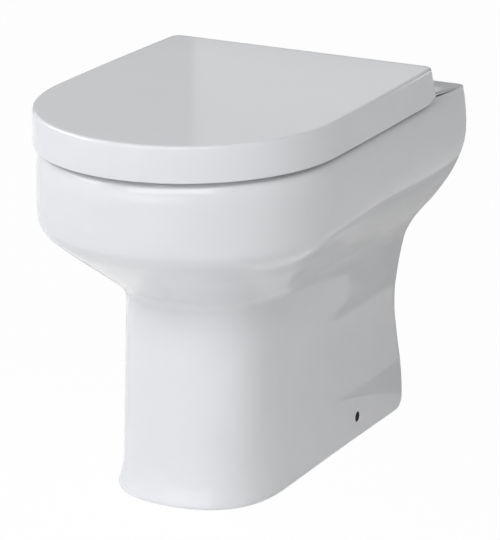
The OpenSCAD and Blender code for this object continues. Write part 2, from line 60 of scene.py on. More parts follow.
# Pan body and foot. The pulls say how full a front curve is: shares of its length and of its half width.
SIDE_END = 366
SIDE_PULL = 0.59
BAND_FRONT_PULL = 0.526
FOOT_HALF_W = 97
FOOT_SIDE_END = 331
FOOT_FRONT = 439
FOOT_SIDE_PULL = 0.72
FOOT_FRONT_PULL = 0.612
SKIN = 12
SHELF = 15
SHOULDER_IN = 13
SHOULDER_DOWN = 28
SHOULDER_AT_WALL = 0.1
SHOULDER_FADE = 60
REACH_START = 0.25
REACH_LEN = 0.6
BAND_CORNER_R = 14
FOOT_CORNER_R = 20
FOOT_EDGE_R = 4
HEEL_H = 14
HEEL_LEN = 26
HEEL_FADE = 110
SIDE_HOLE_R = 6.25
SIDE_HOLE_D = 138
SIDE_HOLE_Z = 27
SIDE_HOLE_LIP = 1.2
SIDE_HOLE_FACE = FOOT_HALF_W - 0.4
OPENING_LIP = 5
OPENING_CORNER_R = 16
OPENING_DROP = 28

# Bowl, trap and pipe ends.
RIM_W = 41
RIM_SIDE_EXTRA = 8
RIM_UNDERCUT = 8
MOUTH_BACK = 205
MOUTH_EDGE_R = 4
BOWL_WALL = 10
TRAP_R = 28
TRAP_WALL = 9
TRAP_BEND = 48
TRAP_SIDES = 64
TRAP_CONE_LEN = 13
SEAL = 50
SUMP_D = 296
SPIGOT_R = 51
SPIGOT_BORE_R = 42
SPIGOT_Z = 185
SPIGOT_D = 60
SPIGOT_LEN = 55
INLET_R = 28
INLET_WALL = 9
INLET_Z = 345
INLET_D = 55
TRAP_Z = SPIGOT_Z - SEAL - 2 * TRAP_R + TRAP_BEND

# Lid and seat.
LID_FRONT_PULL = 0.5275
LID_WALL = 4.2
LID_EDGE_R = 4
LID_TAPER = 4.8
LID_LEAN = 3
LID_LOW_R = 6.5
LID_TOP_R = 12
LID_CORNER_RISE = 9
LID_CORNER_LEN = 26
LID_FOOT_R = 1.2
LID_INNER_R = 3
LID_FLAT_RING = 2
SEAT_GAP = 3.3
SEAT_CORNER_R = 26
SEAT_FOOT = RIM_Z + 6
SEAT_TOP = SEAT_FOOT + 22
SEAT_HOLE_HALF_W = 108
SEAT_HOLE_BACK = 214
SEAT_FRONT_W = 66
BUFFER_R = 8
BUFFER_STEM_R = 3
BUFFER_STEM_H = 6
BUFFER_REAR_SHIFT = 66

# Hinges and their fixings.
HINGE_X = 77.5
AXIS_D = 111
AXIS_Z = RIM_Z + 22
POST_W = 14
POST_R = 11.5
NECK_HALF = 9.5
GASKET_T = 1.5
FLANGE_R = 18
FLANGE_T = 3
PIN_R = 4
SLEEVE_R = 9
LUG_R = 12.5
LUG_W = 21
LUG_GAP = 0.6
HEAD_W = 3
STUD_R = 4
STUD_LEN = 58
STUD_HOLE_R = 7
THREAD_PITCH = 1.25
THREAD_DEPTH = 0.6
THREAD_TURNS = 26
RUN_FIT = 0.02
CONE_R = 13
CONE_H = 9
NUT_R = 9
NUT_H = 13
WING_REACH = 19
WING_T = 4


# ---- Tools of the bench ----

def put_aside():
    bpy.ops.object.select_all(action="DESELECT")


def take(piece):
    put_aside()
    piece.select_set(True)
    bpy.context.view_layer.objects.active = piece


def place(x, d, z):
    return Vector((x * MM, WALL_Y - d * MM, z * MM))


def settle(name):
    """Names the piece just drawn and puts its place into its mesh."""
    piece = bpy.context.object
    piece.name = name
    piece.data.name = name
    bpy.ops.object.transform_apply(location=True, rotation=True, scale=True)
    return piece


def draw_wall(name, rings, closed=False, finishes=None):
    """A ring of points is laid on the first outline and extruded onto each of the next.

    The ends are filled, unless a closed wall is joined to its first outline. finishes
    gives the material index of the faces that lead up to each outline.
    """
    count = len(rings[0])
    put_aside()
    bpy.ops.mesh.primitive_circle_add(vertices=count, radius=MM)
    wall = bpy.context.object
    bpy.ops.object.mode_set(mode="EDIT")
    bpy.ops.mesh.select_all(action="SELECT")
    for step, ring in enumerate(rings + (rings[:1] if closed else [])):
        if step:
            bpy.ops.mesh.extrude_edges_move()
        mesh = bmesh.from_edit_mesh(wall.data)
        mesh.verts.ensure_lookup_table()
        mesh.faces.ensure_lookup_table()
        for vertex, point in zip(mesh.verts[-count:], ring):
            vertex.co = place(*point)
        if finishes and step:
            for face in mesh.faces[-count:]:
                face.material_index = finishes[step % len(rings)]
    if not closed:
        bpy.ops.mesh.edge_face_add()
        bpy.ops.mesh.select_all(action="DESELECT")
        mesh = bmesh.from_edit_mesh(wall.data)
        mesh.verts.ensure_lookup_table()
        for vertex in mesh.verts[:count]:
            vertex.select = True
        mesh.select_flush(True)
        bpy.ops.mesh.edge_face_add()
    bpy.ops.mesh.select_all(action="SELECT")
    bpy.ops.mesh.remove_doubles(threshold=0.002 * MM)
    bpy.ops.mesh.normals_make_consistent(inside=False)
    bpy.ops.object.mode_set(mode="OBJECT")
    return settle(name)


def join_on(piece, tool, how="UNION"):
    """Fuses a tool piece with a piece, or cuts it away, and throws the tool away."""
    take(piece)
    bpy.ops.object.modifier_add(type="BOOLEAN")
    fuse = piece.modifiers[-1]
    fuse.operation = how
    fuse.solver = "EXACT"
    fuse.object = tool
    bpy.ops.object.modifier_apply(modifier=fuse.name)
    bpy.data.objects.remove(tool, do_unlink=True)
    return piece


def cut_with(piece, tool):
    return join_on(piece, tool, "DIFFERENCE")


def round_edges(piece, radius, steps=3, angle=40):
    take(piece)
    bpy.ops.object.modifier_add(type="BEVEL")
    bevel = piece.modifiers[-1]
    bevel.width = radius * MM
    bevel.segments = steps
    bevel.limit_method = "ANGLE"
    bevel.angle_limit = math.radians(angle)
    bpy.ops.object.modifier_apply(modifier=bevel.name)
    return piece


def smooth(piece, angle=35):
    take(piece)
    bpy.ops.object.shade_smooth_by_angle(angle=math.radians(angle))
    return piece


def rod(name, radius, start, end, sides=64, radius_end=None):
    """A round bar or cone between two places."""
    a, b = place(*start), place(*end)
    put_aside()
    bpy.ops.mesh.primitive_cone_add(
        vertices=sides, radius1=radius * MM, radius2=(radius if radius_end is None else radius_end) * MM,
        depth=(b - a).length, location=(a + b) / 2, rotation=(b - a).to_track_quat("Z", "Y").to_euler())
    return settle(name)


def slab(name, low, high):
    """A square block between two corners."""
    a, b = place(*low), place(*high)
    put_aside()
    bpy.ops.mesh.primitive_cube_add(size=1, location=(a + b) / 2, scale=[abs(v) for v in (b - a)])
    return settle(name)


def other_side(piece, name):
    """A mirrored copy across the centre plane, with its own mesh."""
    take(piece)
    bpy.ops.object.duplicate()
    bpy.ops.object.mode_set(mode="EDIT")
    bpy.ops.mesh.select_all(action="SELECT")
    bpy.ops.transform.mirror(constraint_axis=(True, False, False), center_override=(0, 0, 0))
    bpy.ops.mesh.normals_make_consistent(inside=False)
    bpy.ops.object.mode_set(mode="OBJECT")
    return settle(name)


def copy_across(piece, name, dx):
    """A copy moved sideways, with its own mesh."""
    take(piece)
    bpy.ops.object.duplicate()
    bpy.ops.transform.translate(value=(dx * MM, 0, 0))
    return settle(name)


# ---- Outlines ----

Outline = namedtuple("Outline", "half_w back side_end front side_pull front_pull corner_r taper")
BACK_STEPS = 4
CORNER_STEPS = 20
SIDE_STEPS = 16
FRONT_STEPS = 36


def mix(a, b, t):
    return a * (1 - t) + b * t


def ease(t):
    t = max(0, min(1, t))
    return t * t * (3 - 2 * t)


def bezier(a, b, c, d, t):
    return a * (1 - t) ** 3 + 3 * b * t * (1 - t) ** 2 + 3 * c * t * t * (1 - t) + d * t ** 3


def front_point(o, t):
    return (bezier(o.half_w, o.half_w, o.front_pull, 0, t),
            bezier(o.side_end, o.side_end + o.side_pull, o.front, o.front, t))


def half_outline(o):
    """From the middle of the back to the middle of the front: straight, corner, side, front curve."""
    corner_x = o.half_w - o.taper - o.corner_r
    points = [(corner_x * i / BACK_STEPS, o.back) for i in range(BACK_STEPS)]
    for i in range(CORNER_STEPS):
        turn = math.pi / 2 * i / CORNER_STEPS
        points.append((corner_x + o.corner_r * math.sin(turn), o.back + o.corner_r * (1 - math.cos(turn))))
    for i in range(SIDE_STEPS):
        t = i / SIDE_STEPS
        points.append((o.half_w - o.taper * (1 - t) ** 2, mix(o.back + o.corner_r, o.side_end, t)))
    return points + [front_point(o, i / FRONT_STEPS) for i in range(FRONT_STEPS + 1)]


def d_shape(half_w, back, side_end, front, side_pull, front_pull, corner_r, taper=0):
    """A square back, straight sides and a full round front."""
    return Outline(half_w, back, side_end, front, side_pull * (front - side_end), front_pull * half_w,
                   corner_r, taper)


def both_sides(half):
    return half + [(-x, d) for x, d in half[-2:0:-1]]


def at_height(half, z):
    return [(x, d, z) for x, d in both_sides(half)]


def drawn_in(o, t, least_corner=3):
    """The outline moved inwards by t."""
    return o._replace(half_w=o.half_w - t, back=o.back + t, front=o.front - t,
                      front_pull=o.front_pull - t / 2, corner_r=max(o.corner_r - t, least_corner))


def egg(half_w, back, front):
    middle = mix(back, front, 0.5)
    return Outline(half_w, back, mix(middle, front, 0.1), front, 0.5 * (front - middle), 0.56 * half_w,
                   min(half_w * 0.85, (front - back) * 0.45), 0)


def slope_through(keys):
    """Slopes of a smooth curve through (place, value) keys that never overshoots them."""
    rises = [(b[1] - a[1]) / (b[0] - a[0]) for a, b in zip(keys, keys[1:])]
    slopes = [rises[0]]
    for before, after in zip(rises, rises[1:]):
        slopes.append(0 if before * after <= 0 else 2 * before * after / (before + after))
    return slopes + [rises[-1]]


def curve_through(keys):
    slopes = slope_through(keys)

    def value(at):
        if at <= keys[0][0]:
            return keys[0][1]
        if at >= keys[-1][0]:
            return keys[-1][1]
        i = max(k for k in range(len(keys) - 1) if keys[k][0] <= at)
        (x0, y0), (x1, y1) = keys[i], keys[i + 1]
        width = x1 - x0
        t = (at - x0) / width
        return (y0 * (1 + 2 * t) * (1 - t) ** 2 + y1 * t * t * (3 - 2 * t)
                + slopes[i] * width * t * (1 - t) ** 2 - slopes[i + 1] * width * t * t * (1 - t))
    return value


def finer(rows, steps):
    """Rows of numbers with smooth rows put between them."""
    curves = [curve_through(list(enumerate(column))) for column in zip(*rows)]
    return [[curve(i / steps) for curve in curves] for i in range((len(rows) - 1) * steps + 1)]


def quarter(radius, steps=6):
    """A rounded edge as (drawn in, below the edge), from the flat side to the upright side."""
    turns = [math.pi / 2 * i / steps for i in range(steps + 1)]
    return [(radius * (1 - math.sin(turn)), radius * (1 - math.cos(turn))) for turn in turns]


def heights(*spans):
    """Falling heights: each span is (from, to, step)."""
    levels = []
    for start, end, step in spans:
        count = max(1, round((start - end) / step))
        levels += [mix(start, end, i / count) for i in range(count)]
    return levels + [spans[-1][1]]


# ---- The pan ----

BAND = d_shape(BAND_HALF_W, 0, SIDE_END, PAN_FRONT, SIDE_PULL, BAND_FRONT_PULL, BAND_CORNER_R)
FOOT = d_shape(FOOT_HALF_W, 0, FOOT_SIDE_END, FOOT_FRONT, FOOT_SIDE_PULL, FOOT_FRONT_PULL, FOOT_CORNER_R)
# How far the outline has moved from the band (0) to the foot (1), by height.
shift_front = curve_through([(0, 0.962), (6, 0.978), (14, 1.002), (26, 1.029), (40, 1.043), (100, 1.057),
                             (200, 1.088), (220, 1.095), (227, 1.095), (233, 1.085), (238.7, 1.057),
                             (244, 1.015), (250, 0.948), (285, 0.502), (312, 0.16), (322, 0.06),
                             (334, 0.008), (350, 0)])
shift_back = curve_through([(0, 1), (24, 1.003), (55, 1.028), (85, 1.082), (100, 1.106), (131, 1.144),
                            (147, 1.142), (178, 1.098), (209, 1.027), (225, 0.972), (242, 0.86), (259, 0.698),
                            (276, 0.513), (293, 0.358), (309, 0.229), (325, 0.13), (341, 0.055), (357, 0.012),
                            (372, 0.002), (400, 0.028), (415, 0.036)])


def rounded(u):
    """How much of a quarter ellipse's width is cut away, from its steep end (0) to its flat end (1)."""
    return 1 - math.sqrt(1 - max(0, min(1, u)) ** 2)


def heel(z):
    return HEEL_LEN * rounded(1 - z / HEEL_H)


BAND_HALF = half_outline(BAND)
# How far each point of the outline follows the front's shift (1) rather than the back's (0).
REACH = [ease((d / PAN_FRONT - REACH_START) / REACH_LEN) for x, d in BAND_HALF]


def pan_half(z, t):
    """Half of the pan's outline at a height, t inside its outside."""
    band, foot = half_outline(drawn_in(BAND, t)), half_outline(drawn_in(FOOT, t))
    half = []
    for (bx, bd), (fx, fd), reach in zip(band, foot, REACH):
        shift = mix(shift_back(z), shift_front(z), reach)
        d = mix(bd, fd, shift)
        half.append((mix(bx, fx, shift), d + heel(z) * max(0, 1 - d / HEEL_FADE)))
    return half


def rim_half(z):
    """The outside on the way up to the rim: its edge is rounded, but hardly where it meets the wall."""
    t = SHOULDER_IN * rounded(1 - (RIM_Z - z) / SHOULDER_DOWN)
    near, far = pan_half(z, t * SHOULDER_AT_WALL), pan_half(z, t)
    return [(mix(nx, fx, min(1, bd / SHOULDER_FADE)), mix(nd, fd, min(1, bd / SHOULDER_FADE)))
            for (nx, nd), (fx, fd), (_, bd) in zip(near, far, BAND_HALF)]


BOWL_HALF_W = BAND_HALF_W - RIM_W - RIM_SIDE_EXTRA
BOWL_FRONT = PAN_FRONT - RIM_W
# The bowl's inside from under the rim to the trap: height, half width, back, front.
BOWL_ROWS = [
    [RIM_Z - MOUTH_EDGE_R, BOWL_HALF_W, MOUTH_BACK, BOWL_FRONT],
    [RIM_Z - 22, BOWL_HALF_W, MOUTH_BACK, BOWL_FRONT],
    [RIM_Z - 30, BOWL_HALF_W + RIM_UNDERCUT, MOUTH_BACK - 7, BOWL_FRONT + 7],
    [RIM_Z - 52, BOWL_HALF_W + RIM_UNDERCUT, MOUTH_BACK - 7, BOWL_FRONT + 6],
    [RIM_Z - 66, BOWL_HALF_W + 1, MOUTH_BACK - 6, BOWL_FRONT - 2],
    [RIM_Z - 92, BOWL_HALF_W - 13, MOUTH_BACK - 5, BOWL_FRONT - 19],
    [RIM_Z - 122, BOWL_HALF_W - 30, MOUTH_BACK, BOWL_FRONT - 50],
    [RIM_Z - 150, BOWL_HALF_W - 46, MOUTH_BACK + 13, BOWL_FRONT - 84],
    [RIM_Z - 175, BOWL_HALF_W - 66, MOUTH_BACK + 25, BOWL_FRONT - 119],
    [RIM_Z - 205, TRAP_R + 26, SUMP_D - 53, SUMP_D + 70],
    [TRAP_Z + 50, TRAP_R + 20, SUMP_D - 46, SUMP_D + 55],
    [TRAP_Z + 30, TRAP_R + 12, SUMP_D - TRAP_R - 12, SUMP_D + TRAP_R + 15],
    [TRAP_Z + 18, TRAP_R + 3, SUMP_D - TRAP_R - 3, SUMP_D + TRAP_R + 4],
    [TRAP_Z + 6, TRAP_R - 3, SUMP_D - TRAP_R + 3, SUMP_D + TRAP_R - 3]]
UNDER_SHELF = RIM_Z - SHELF
# The pan's three finishes, by their place in its list; the third is near-black painted shade for the side
# holes' bores.
GLAZED, BARE, BORE = 0, 1, 2


def egg_ring(row, t, drop=0):
    """An egg-shaped outline from a row (height, half width, back, front), t outside it."""
    z, half_w, back, front = row
    return at_height(half_outline(egg(half_w + t, back - t, front + t)), z - drop)


def pan_rings():
    """The pan's one wall: up the bowl, over the rim, down the outside, up inside the skin, round the bowl."""
    rings = [egg_ring(row, 0) for row in reversed(finer(BOWL_ROWS, 4))]
    for inward, down in reversed(quarter(MOUTH_EDGE_R)[:-1]):
        rings.append(egg_ring([RIM_Z - down] + BOWL_ROWS[0][1:], inward))
    for _, down in quarter(SHOULDER_DOWN, 12):
        rings.append(at_height(rim_half(RIM_Z - down), RIM_Z - down))
    body = heights((RIM_Z - SHOULDER_DOWN - 5, 350, 8), (350, 300, 2.5), (300, 256, 4), (256, 216, 1.6),
                   (216, 50, 9), (50, 16, 4), (16, FOOT_EDGE_R + 1, 1.5))
    rings += [at_height(pan_half(z, 0), z) for z in body]
    for inward, up in quarter(FOOT_EDGE_R, 6)[::-1]:
        rings.append(at_height(pan_half(up, inward), up))
    glazed = len(rings)
    inside = heights((UNDER_SHELF - 9, 342, 10), (342, 216, 7), (216, 14, 18))[::-1]
    rings.append(at_height(pan_half(0, SKIN - 1.5), 0))
    rings += [at_height(pan_half(z, SKIN), z) for z in [1.5] + inside]
    rings.append(at_height(pan_half(UNDER_SHELF - 3, SKIN + 2), UNDER_SHELF - 3))
    rings.append(at_height(pan_half(UNDER_SHELF, SKIN + 6), UNDER_SHELF))
    rings.append(egg_ring([UNDER_SHELF] + BOWL_ROWS[2][1:], BOWL_WALL + 6))
    outer = finer(BOWL_ROWS[2:], 2)
    rings += [egg_ring(row, BOWL_WALL) for row in outer[:-1]]
    rings.append(egg_ring(outer[-1], BOWL_WALL, drop=8))
    return rings, [GLAZED] * glazed + [BARE] * (len(rings) - glazed)


def draw_trap(name, radius, spigot_radius, spigot_start, cone_shift, head):
    """A round bar bent as the trap runs: down from the sump, round, up, over and out to the wall."""
    rise_d = SUMP_D - 2 * TRAP_BEND
    run_d = SUMP_D - 3 * TRAP_BEND
    put_aside()
    bpy.ops.mesh.primitive_circle_add(vertices=TRAP_SIDES, radius=radius * MM, fill_type="NGON",
                                      location=place(0, SUMP_D, TRAP_Z + head))
    bpy.ops.object.mode_set(mode="EDIT")
    bpy.ops.mesh.select_all(action="SELECT")

    def pull(to_d, to_z, from_d, from_z, scale=1):
        move = place(0, to_d, to_z) - place(0, from_d, from_z)
        bpy.ops.mesh.extrude_region_move(TRANSFORM_OT_translate={"value": move})
        if scale != 1:
            bpy.ops.transform.resize(value=(scale, 1, scale))

    def bend_round(d, z, angle):
        bpy.ops.mesh.spin(steps=28, angle=math.radians(angle), center=place(0, d, z), axis=(1, 0, 0))

    pull(SUMP_D, TRAP_Z, SUMP_D, TRAP_Z + head)
    bend_round(SUMP_D - TRAP_BEND, TRAP_Z, -180)
    pull(rise_d, SPIGOT_Z - TRAP_BEND, rise_d, TRAP_Z)
    bend_round(run_d, SPIGOT_Z - TRAP_BEND, 90)
    cone_end = SPIGOT_D + SPIGOT_LEN - cone_shift
    pull(cone_end + TRAP_CONE_LEN, SPIGOT_Z, run_d, SPIGOT_Z)
    pull(cone_end, SPIGOT_Z, cone_end + TRAP_CONE_LEN, SPIGOT_Z, spigot_radius / radius)
    pull(spigot_start, SPIGOT_Z, cone_end, SPIGOT_Z)
    bpy.ops.mesh.select_all(action="SELECT")
    bpy.ops.mesh.remove_doubles(threshold=0.002 * MM)
    bpy.ops.mesh.normals_make_consistent(inside=False)
    bpy.ops.object.mode_set(mode="OBJECT")
    return settle(name)


def back_opening():
    """A block for the open back, a little narrower than the space inside, with rounded top corners."""
    corner_z = UNDER_SHELF - OPENING_DROP
    half = [(mix(BAND_HALF_W, FOOT_HALF_W, shift_back(z)) - SKIN - OPENING_LIP, z)
            for z in heights((corner_z, 40, 8), (40, -1, 20))[::-1]]
    corner_x = half[-1][0] - OPENING_CORNER_R
    for i in range(1, 9):
        turn = math.pi / 2 * i / 8
        half.append((corner_x + OPENING_CORNER_R * math.cos(turn),
                     corner_z + OPENING_CORNER_R * math.sin(turn)))
    outline = half + [(-x, z) for x, z in half[::-1]]
    return draw_wall("back_block", [[(x, d, z) for x, z in outline] for d in (-1, SKIN + HEEL_LEN + 3)])


def side_hole(side):
    """A block for a fixing hole through the foot's skin, flared where it meets the outside."""
    steps = [(FOOT_HALF_W - 2 * SKIN, 0), (SIDE_HOLE_FACE - SIDE_HOLE_LIP, 0)]
    steps += [(SIDE_HOLE_FACE - SIDE_HOLE_LIP * math.cos(turn), SIDE_HOLE_LIP * (1 - math.cos(turn)))
              for turn in [math.pi / 8 * i for i in range(1, 4)]]
    steps += [(SIDE_HOLE_FACE, SIDE_HOLE_LIP), (SIDE_HOLE_FACE + 3, SIDE_HOLE_LIP * 2)]
    turns = [2 * math.pi * i / 48 for i in range(48)]
    rings = []
    for x, wider in steps:
        radius = SIDE_HOLE_R + wider
        rings.append([(side * x, SIDE_HOLE_D + radius * math.cos(turn), SIDE_HOLE_Z + radius * math.sin(turn))
                      for turn in turns])
    return draw_wall("side_hole_block", rings)


def paint_shade_in_side_holes(pan):
    """Gives the faces inside the two side holes a near-black colour, which is painted shade in the bores."""
    for face in pan.data.polygons:
        x, y, z = face.center / MM
        in_hole = math.hypot(WALL_Y / MM - y - SIDE_HOLE_D, z - SIDE_HOLE_Z) < SIDE_HOLE_R + 0.2
        if in_hole and abs(x) < SIDE_HOLE_FACE - SIDE_HOLE_LIP and abs(face.normal.x) < 0.4:
            face.material_index = BORE


def make_pan():
    """The china: its wall, the trap and the inlet on it, and the bores and openings cut through."""
    rings, finishes = pan_rings()
    pan = draw_wall("pan_china", rings, closed=True, finishes=finishes)
    for finish in (GLAZE, BARE_CHINA, BORE_PAINTED_SHADE):
        pan.data.materials.append(finish)
    join_on(pan, draw_trap("trap_pipe", TRAP_R + TRAP_WALL, SPIGOT_R, SPIGOT_D, 0, 12))
    join_on(pan, rod("inlet_pipe", INLET_R + INLET_WALL, (0, INLET_D, INLET_Z),
                     (0, MOUTH_BACK - 9, INLET_Z)))
    cut_with(pan, draw_trap("trap_bore", TRAP_R, SPIGOT_BORE_R, SPIGOT_D - 1, 3, 26))
    cut_with(pan, rod("inlet_bore", INLET_R, (0, INLET_D - 1, INLET_Z), (0, MOUTH_BACK + 12, INLET_Z)))
    cut_with(pan, back_opening())
    for side in (-1, 1):
        cut_with(pan, side_hole(side))
        x = side * HINGE_X
        cut_with(pan, rod("stud_hole", STUD_HOLE_R, (x, AXIS_D, UNDER_SHELF - 1), (x, AXIS_D, RIM_Z + 1)))
    # The side holes' bores get near-black painted shade.
    paint_shade_in_side_holes(pan)
    return smooth(pan)


# ---- Lid and seat ----

LID_INSIDE = LID_TOP - LID_WALL
LUG_NEAR = POST_W / 2 + LUG_GAP
LUG_FAR = LUG_NEAR + LUG_W
NOTCH_W = LUG_FAR + HEAD_W + 3
SEAT_BACK = AXIS_D + LUG_R + 4


def lid_half(t, up):
    """The lid's outline from its lower edge (0) to its top (1): its back leans and its corners open out."""
    line = d_shape(LID_HALF_W, LID_BACK + LID_LEAN * up, SIDE_END, LID_FRONT, SIDE_PULL, LID_FRONT_PULL,
                   mix(LID_LOW_R, LID_TOP_R, up), LID_TAPER + mix(-1.6, 0.6, up))
    return half_outline(drawn_in(line, t, 2))


def lid_foot(t, up):
    """The lid's lower edge, which rises at its back corners."""
    ring = []
    for (x, d), (_, rim_d) in zip(both_sides(lid_half(t, 0)), both_sides(lid_half(0, 0))):
        near_back = max(0, min(1, (LID_BACK + LID_CORNER_LEN - rim_d) / LID_CORNER_LEN))
        ring.append((x, d, LID_FOOT + LID_CORNER_RISE * near_back ** 2.2 + up))
    return ring


def hinge_lug(name, start, end, reach_d, low, high):
    """A round knuckle with a web that carries it, edges eased."""
    knuckle = rod(name, LUG_R, (start, AXIS_D, AXIS_Z), (end, AXIS_D, AXIS_Z), sides=96)
    join_on(knuckle, slab("web", (start, reach_d[0], low), (end, reach_d[1], high)))
    return round_edges(knuckle, 0.9)


def sleeve_seats(piece, middles):
    """Bores the knuckles of a lid or seat for their sleeves."""
    for x in middles:
        cut_with(piece, rod("sleeve_seat", SLEEVE_R + RUN_FIT, (x - LUG_W, AXIS_D, AXIS_Z),
                            (x + LUG_W, AXIS_D, AXIS_Z)))
    return piece


def make_lid():
    """The lid's shell with its notches for the posts and its two knuckles."""
    rings = [at_height(lid_half(LID_EDGE_R + LID_FLAT_RING, 1), LID_TOP)]
    rings += [at_height(lid_half(inward, 1), LID_TOP - down) for inward, down in quarter(LID_EDGE_R, 8)]
    rings += [lid_foot(inward, up) for inward, up in reversed(quarter(LID_FOOT_R, 4))]
    rings += [lid_foot(LID_WALL - inward, up) for inward, up in quarter(0.9, 3)]
    rings += [at_height(lid_half(LID_WALL + inward, 1), LID_INSIDE - down)
              for inward, down in reversed(quarter(LID_INNER_R, 5))]
    lid = draw_wall("lid_shell", rings)
    for side in (-1, 1):
        x = side * HINGE_X
        notch = slab("notch", (x - NOTCH_W, LID_BACK - 12, LID_FOOT - 12),
                     (x + NOTCH_W, LID_BACK + LID_LEAN + LID_WALL + 3, AXIS_Z + 14))
        cut_with(lid, round_edges(notch, 5, 5))
        start = x + LUG_NEAR if side > 0 else x - LUG_FAR
        web_d = (AXIS_D - 9, AXIS_D + 11)
        join_on(lid, hinge_lug("lid_lug", start, start + LUG_W, web_d, AXIS_Z, LID_INSIDE + 1))
    sleeve_seats(lid, [side * (HINGE_X + LUG_NEAR + LUG_W / 2) for side in (-1, 1)])
    return smooth(lid)


SEAT_LINE = drawn_in(d_shape(LID_HALF_W, SEAT_BACK - LID_WALL - SEAT_GAP, SIDE_END, LID_FRONT,
                             SIDE_PULL, LID_FRONT_PULL, SEAT_CORNER_R, LID_TAPER),
                     LID_WALL + SEAT_GAP)
SEAT_HOLE_FRONT = LID_FRONT - LID_WALL - SEAT_GAP - SEAT_FRONT_W
SEAT_HALF_W = LID_HALF_W - LID_WALL - SEAT_GAP
# The front buffers stand at this share of the way round the front curves.
PAD_SHARE = 8 / 13


def pad_places(hole):
    """The rear and the front buffer's places, midway between a hole's edge and the seat's edge."""
    front = zip(front_point(hole, PAD_SHARE), front_point(SEAT_LINE, PAD_SHARE))
    rear = (mix(hole.half_w, SEAT_HALF_W, 0.5), SIDE_END - BUFFER_REAR_SHIFT)
    return [rear, tuple(mix(a, b, 0.5) for a, b in front)]


SEAT_PADS = pad_places(egg(BOWL_HALF_W, MOUTH_BACK, BOWL_FRONT))
LID_PADS = pad_places(egg(SEAT_HOLE_HALF_W, SEAT_HOLE_BACK, SEAT_HOLE_FRONT))


def make_seat():
    """The seat ring, rounded from its hole to its outside, with two knuckles and four stem seats."""
    inner = finer([[4, SEAT_FOOT], [1, SEAT_FOOT + 3], [0, SEAT_TOP - 11], [2, SEAT_TOP - 6],
                   [8, SEAT_TOP - 1.6], [16, SEAT_TOP]], 4)
    outer = finer([[9, SEAT_TOP], [4, SEAT_TOP - 0.7], [1.2, SEAT_TOP - 3], [0, SEAT_TOP - 8],
                   [0.4, SEAT_FOOT + 2], [2.5, SEAT_FOOT]], 4)
    rings = [egg_ring([z, SEAT_HOLE_HALF_W, SEAT_HOLE_BACK, SEAT_HOLE_FRONT], t) for t, z in inner]
    rings += [at_height(half_outline(drawn_in(SEAT_LINE, t)), z) for t, z in outer]
    seat = draw_wall("seat_ring", rings, closed=True)
    for side in (-1, 1):
        start = HINGE_X - LUG_FAR if side > 0 else -HINGE_X + LUG_NEAR
        web_d = (AXIS_D, SEAT_BACK + 8)
        join_on(seat, hinge_lug("seat_lug", start, start + LUG_W, web_d, AXIS_Z - 9, SEAT_TOP - 1))
    sleeve_seats(seat, [side * (HINGE_X - LUG_NEAR - LUG_W / 2) for side in (-1, 1)])
    for x, d in SEAT_PADS:
        for side in (-1, 1):
            cut_with(seat, rod("stem_seat", BUFFER_STEM_R + RUN_FIT, (side * x, d, SEAT_FOOT - 1),
                               (side * x, d, SEAT_FOOT + BUFFER_STEM_H + 0.5), sides=32))
    return smooth(seat)


# ---- Hinges ----

FLANGE_Z = RIM_Z + GASKET_T
NECK_Z = FLANGE_Z + FLANGE_T
STUD_TOP = NECK_Z + 5


def make_post():
    """The right post: a flange, a neck and a round head, with the pin's bore and the stud's seat."""
    x = HINGE_X
    post = rod("hinge_post", FLANGE_R, (x, AXIS_D, FLANGE_Z), (x, AXIS_D, NECK_Z), sides=96)
    round_edges(post, 0.7)
    left, right = x - POST_W / 2, x + POST_W / 2
    head = rod("head", POST_R, (left, AXIS_D, AXIS_Z), (right, AXIS_D, AXIS_Z), sides=96)
    join_on(head, slab("neck", (left, AXIS_D - NECK_HALF, NECK_Z - 0.5), (right, AXIS_D + NECK_HALF, AXIS_Z)))
    round_edges(head, 0.9)
    join_on(post, head)
    cut_with(post, rod("pin_bore", PIN_R + RUN_FIT, (x - POST_W, AXIS_D, AXIS_Z),
                       (x + POST_W, AXIS_D, AXIS_Z)))
    cut_with(post, rod("stud_seat", STUD_R + RUN_FIT, (x, AXIS_D, FLANGE_Z - 1), (x, AXIS_D, STUD_TOP + 0.5)))
    return smooth(post)


def make_pin():
    reach = LUG_FAR - 1
    pin = rod("hinge_pin", PIN_R, (HINGE_X - reach, AXIS_D, AXIS_Z), (HINGE_X + reach, AXIS_D, AXIS_Z))
    return smooth(round_edges(pin, 0.8))


def make_sleeve(name, x, away, head, flats):
    """A sleeve in a lug's bore, from x away from the post, with a head on the lug's far end."""
    end = x + away * LUG_W
    head_r = LUG_R - 1.5
    sleeve = rod(name, SLEEVE_R, (x, AXIS_D, AXIS_Z), (end + away * 0.2, AXIS_D, AXIS_Z))
    cap = rod("cap", head_r, (end, AXIS_D, AXIS_Z), (end + away * head, AXIS_D, AXIS_Z), sides=96)
    if flats:
        for side in (-1, 1):
            d = AXIS_D + side * head_r
            cut_with(cap, slab("flat", (end - 9, d - 2, AXIS_Z - LUG_R), (end + 9, d + 2, AXIS_Z + LUG_R)))
    join_on(sleeve, round_edges(cap, 0.35))
    cut_with(sleeve, rod("pin_way", PIN_R + 0.05, (x - away, AXIS_D, AXIS_Z),
                         (end - away * 0.4, AXIS_D, AXIS_Z)))
    return smooth(sleeve)


def make_gasket():
    x = HINGE_X
    gasket = rod("gasket", FLANGE_R + 0.5, (x, AXIS_D, RIM_Z), (x, AXIS_D, FLANGE_Z), sides=96)
    round_edges(gasket, 0.4)
    hole = rod("hole", STUD_R + 0.3, (x, AXIS_D, RIM_Z - 1), (x, AXIS_D, FLANGE_Z + 1))
    return smooth(cut_with(gasket, hole))


